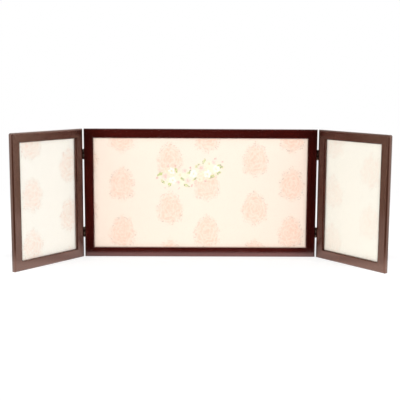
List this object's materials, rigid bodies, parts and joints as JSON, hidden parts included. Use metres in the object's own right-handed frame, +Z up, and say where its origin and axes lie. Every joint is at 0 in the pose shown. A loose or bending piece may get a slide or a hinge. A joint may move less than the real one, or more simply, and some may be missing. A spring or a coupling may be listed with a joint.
{
  "type": "folding picture screen",
  "caption": "Small free-standing folding screen: a wide framed picture panel between narrow framed wings, joined by butt hinges, in dark lacquered wood with cream floral cards.",
  "frame": {"origin": "middle of the face that the centre panel stands on, halfway through the frame's thickness", "axes": "+X along the width of the centre panel to the right as seen from the front, +Y from the front to the back, +Z up"},
  "size_m": [0.691, 0.1551, 0.255],
  "materials": {
    "lacquered_wood": "dark red-brown lacquer, gloss",
    "clear_sheet": "clear acrylic",
    "picture_card": "matt cream card with a pale floral print",
    "backing_board": "bare hardboard",
    "dark_brass": "darkened brass, satin",
    "steel": "plain"
  },
  "bodies": {
    "centre_panel": {"centre_top_rail": "lacquered_wood", "centre_bottom_rail": "lacquered_wood", "centre_left_stile": "lacquered_wood", "centre_right_stile": "lacquered_wood", "centre_glazing": "clear_sheet", "centre_picture": "picture_card", "centre_backing_board": "backing_board", "centre_corner_nails": "steel", "centre_hinge_screws": "dark_brass", "centre_button_screws": "dark_brass", "left_upper_hinge_centre_leaf": "dark_brass", "left_upper_hinge_pin": "dark_brass", "left_lower_hinge_centre_leaf": "dark_brass", "left_lower_hinge_pin": "dark_brass", "right_upper_hinge_centre_leaf": "dark_brass", "right_upper_hinge_pin": "dark_brass", "right_lower_hinge_centre_leaf": "dark_brass", "right_lower_hinge_pin": "dark_brass"},
    "left_wing": {"left_wing_top_rail": "lacquered_wood", "left_wing_bottom_rail": "lacquered_wood", "left_wing_left_stile": "lacquered_wood", "left_wing_right_stile": "lacquered_wood", "left_wing_glazing": "clear_sheet", "left_wing_picture": "picture_card", "left_wing_backing_board": "backing_board", "left_wing_corner_nails": "steel", "left_wing_hinge_screws": "dark_brass", "left_wing_button_screws": "dark_brass", "left_upper_hinge_wing_leaf": "dark_brass", "left_lower_hinge_wing_leaf": "dark_brass"},
    "right_wing": {"right_wing_top_rail": "lacquered_wood", "right_wing_bottom_rail": "lacquered_wood", "right_wing_left_stile": "lacquered_wood", "right_wing_right_stile": "lacquered_wood", "right_wing_glazing": "clear_sheet", "right_wing_picture": "picture_card", "right_wing_backing_board": "backing_board", "right_wing_corner_nails": "steel", "right_wing_hinge_screws": "dark_brass", "right_wing_button_screws": "dark_brass", "right_upper_hinge_wing_leaf": "dark_brass", "right_lower_hinge_wing_leaf": "dark_brass"},
    "centre_turn_button_1": {"centre_turn_button_1": "dark_brass"},
    "centre_turn_button_2": {"centre_turn_button_2": "dark_brass"},
    "centre_turn_button_3": {"centre_turn_button_3": "dark_brass"},
    "centre_turn_button_4": {"centre_turn_button_4": "dark_brass"},
    "left_wing_turn_button_1": {"left_wing_turn_button_1": "dark_brass"},
    "left_wing_turn_button_2": {"left_wing_turn_button_2": "dark_brass"},
    "left_wing_turn_button_3": {"left_wing_turn_button_3": "dark_brass"},
    "left_wing_turn_button_4": {"left_wing_turn_button_4": "dark_brass"},
    "right_wing_turn_button_1": {"right_wing_turn_button_1": "dark_brass"},
    "right_wing_turn_button_2": {"right_wing_turn_button_2": "dark_brass"},
    "right_wing_turn_button_3": {"right_wing_turn_button_3": "dark_brass"},
    "right_wing_turn_button_4": {"right_wing_turn_button_4": "dark_brass"}
  },
  "joints": [
    {"name": "left_wing_fold", "type": "hinge", "parent": "centre_panel", "child": "left_wing", "pos_m": [-0.23035, -0.0052, 0.1275], "axis": [0, 0, 1], "range_deg": [-52.5, 127.5]},
    {"name": "right_wing_fold", "type": "hinge", "parent": "centre_panel", "child": "right_wing", "pos_m": [0.23035, -0.0052, 0.1275], "axis": [0, 0, -1], "range_deg": [-53.5, 126.5]},
    {"name": "centre_turn_button_1_turn", "type": "hinge", "parent": "centre_panel", "child": "centre_turn_button_1", "pos_m": [-0.1495, 0.0045, 0.0065], "axis": [0, 1, 0], "range_deg": [-90, 90]},
    {"name": "centre_turn_button_2_turn", "type": "hinge", "parent": "centre_panel", "child": "centre_turn_button_2", "pos_m": [0.1495, 0.0045, 0.0065], "axis": [0, 1, 0], "range_deg": [-90, 90]},
    {"name": "centre_turn_button_3_turn", "type": "hinge", "parent": "centre_panel", "child": "centre_turn_button_3", "pos_m": [-0.1495, 0.0045, 0.2485], "axis": [0, 1, 0], "range_deg": [-90, 90]},
    {"name": "centre_turn_button_4_turn", "type": "hinge", "parent": "centre_panel", "child": "centre_turn_button_4", "pos_m": [0.1495, 0.0045, 0.2485], "axis": [0, 1, 0], "range_deg": [-90, 90]},
    {"name": "left_wing_turn_button_1_turn", "type": "hinge", "parent": "left_wing", "child": "left_wing_turn_button_1", "pos_m": [-0.34297, -0.13603, 0.08], "axis": [-0.7934, 0.6088, 0], "range_deg": [-90, 90]},
    {"name": "left_wing_turn_button_2_turn", "type": "hinge", "parent": "left_wing", "child": "left_wing_turn_button_2", "pos_m": [-0.34297, -0.13603, 0.175], "axis": [-0.7934, 0.6088, 0], "range_deg": [-90, 90]},
    {"name": "left_wing_turn_button_3_turn", "type": "hinge", "parent": "left_wing", "child": "left_wing_turn_button_3", "pos_m": [-0.24252, -0.00513, 0.08], "axis": [-0.7934, 0.6088, 0], "range_deg": [-90, 90]},
    {"name": "left_wing_turn_button_4_turn", "type": "hinge", "parent": "left_wing", "child": "left_wing_turn_button_4", "pos_m": [-0.24252, -0.00513, 0.175], "axis": [-0.7934, 0.6088, 0], "range_deg": [-90, 90]},
    {"name": "right_wing_turn_button_1_turn", "type": "hinge", "parent": "right_wing", "child": "right_wing_turn_button_1", "pos_m": [0.24252, -0.00534, 0.08], "axis": [0.8039, 0.5948, 0], "range_deg": [-90, 90]},
    {"name": "right_wing_turn_button_2_turn", "type": "hinge", "parent": "right_wing", "child": "right_wing_turn_button_2", "pos_m": [0.24252, -0.00534, 0.175], "axis": [0.8039, 0.5948, 0], "range_deg": [-90, 90]},
    {"name": "right_wing_turn_button_3_turn", "type": "hinge", "parent": "right_wing", "child": "right_wing_turn_button_3", "pos_m": [0.34067, -0.13797, 0.08], "axis": [0.8039, 0.5948, 0], "range_deg": [-90, 90]},
    {"name": "right_wing_turn_button_4_turn", "type": "hinge", "parent": "right_wing", "child": "right_wing_turn_button_4", "pos_m": [0.34067, -0.13797, 0.175], "axis": [0.8039, 0.5948, 0], "range_deg": [-90, 90]}
  ]
}
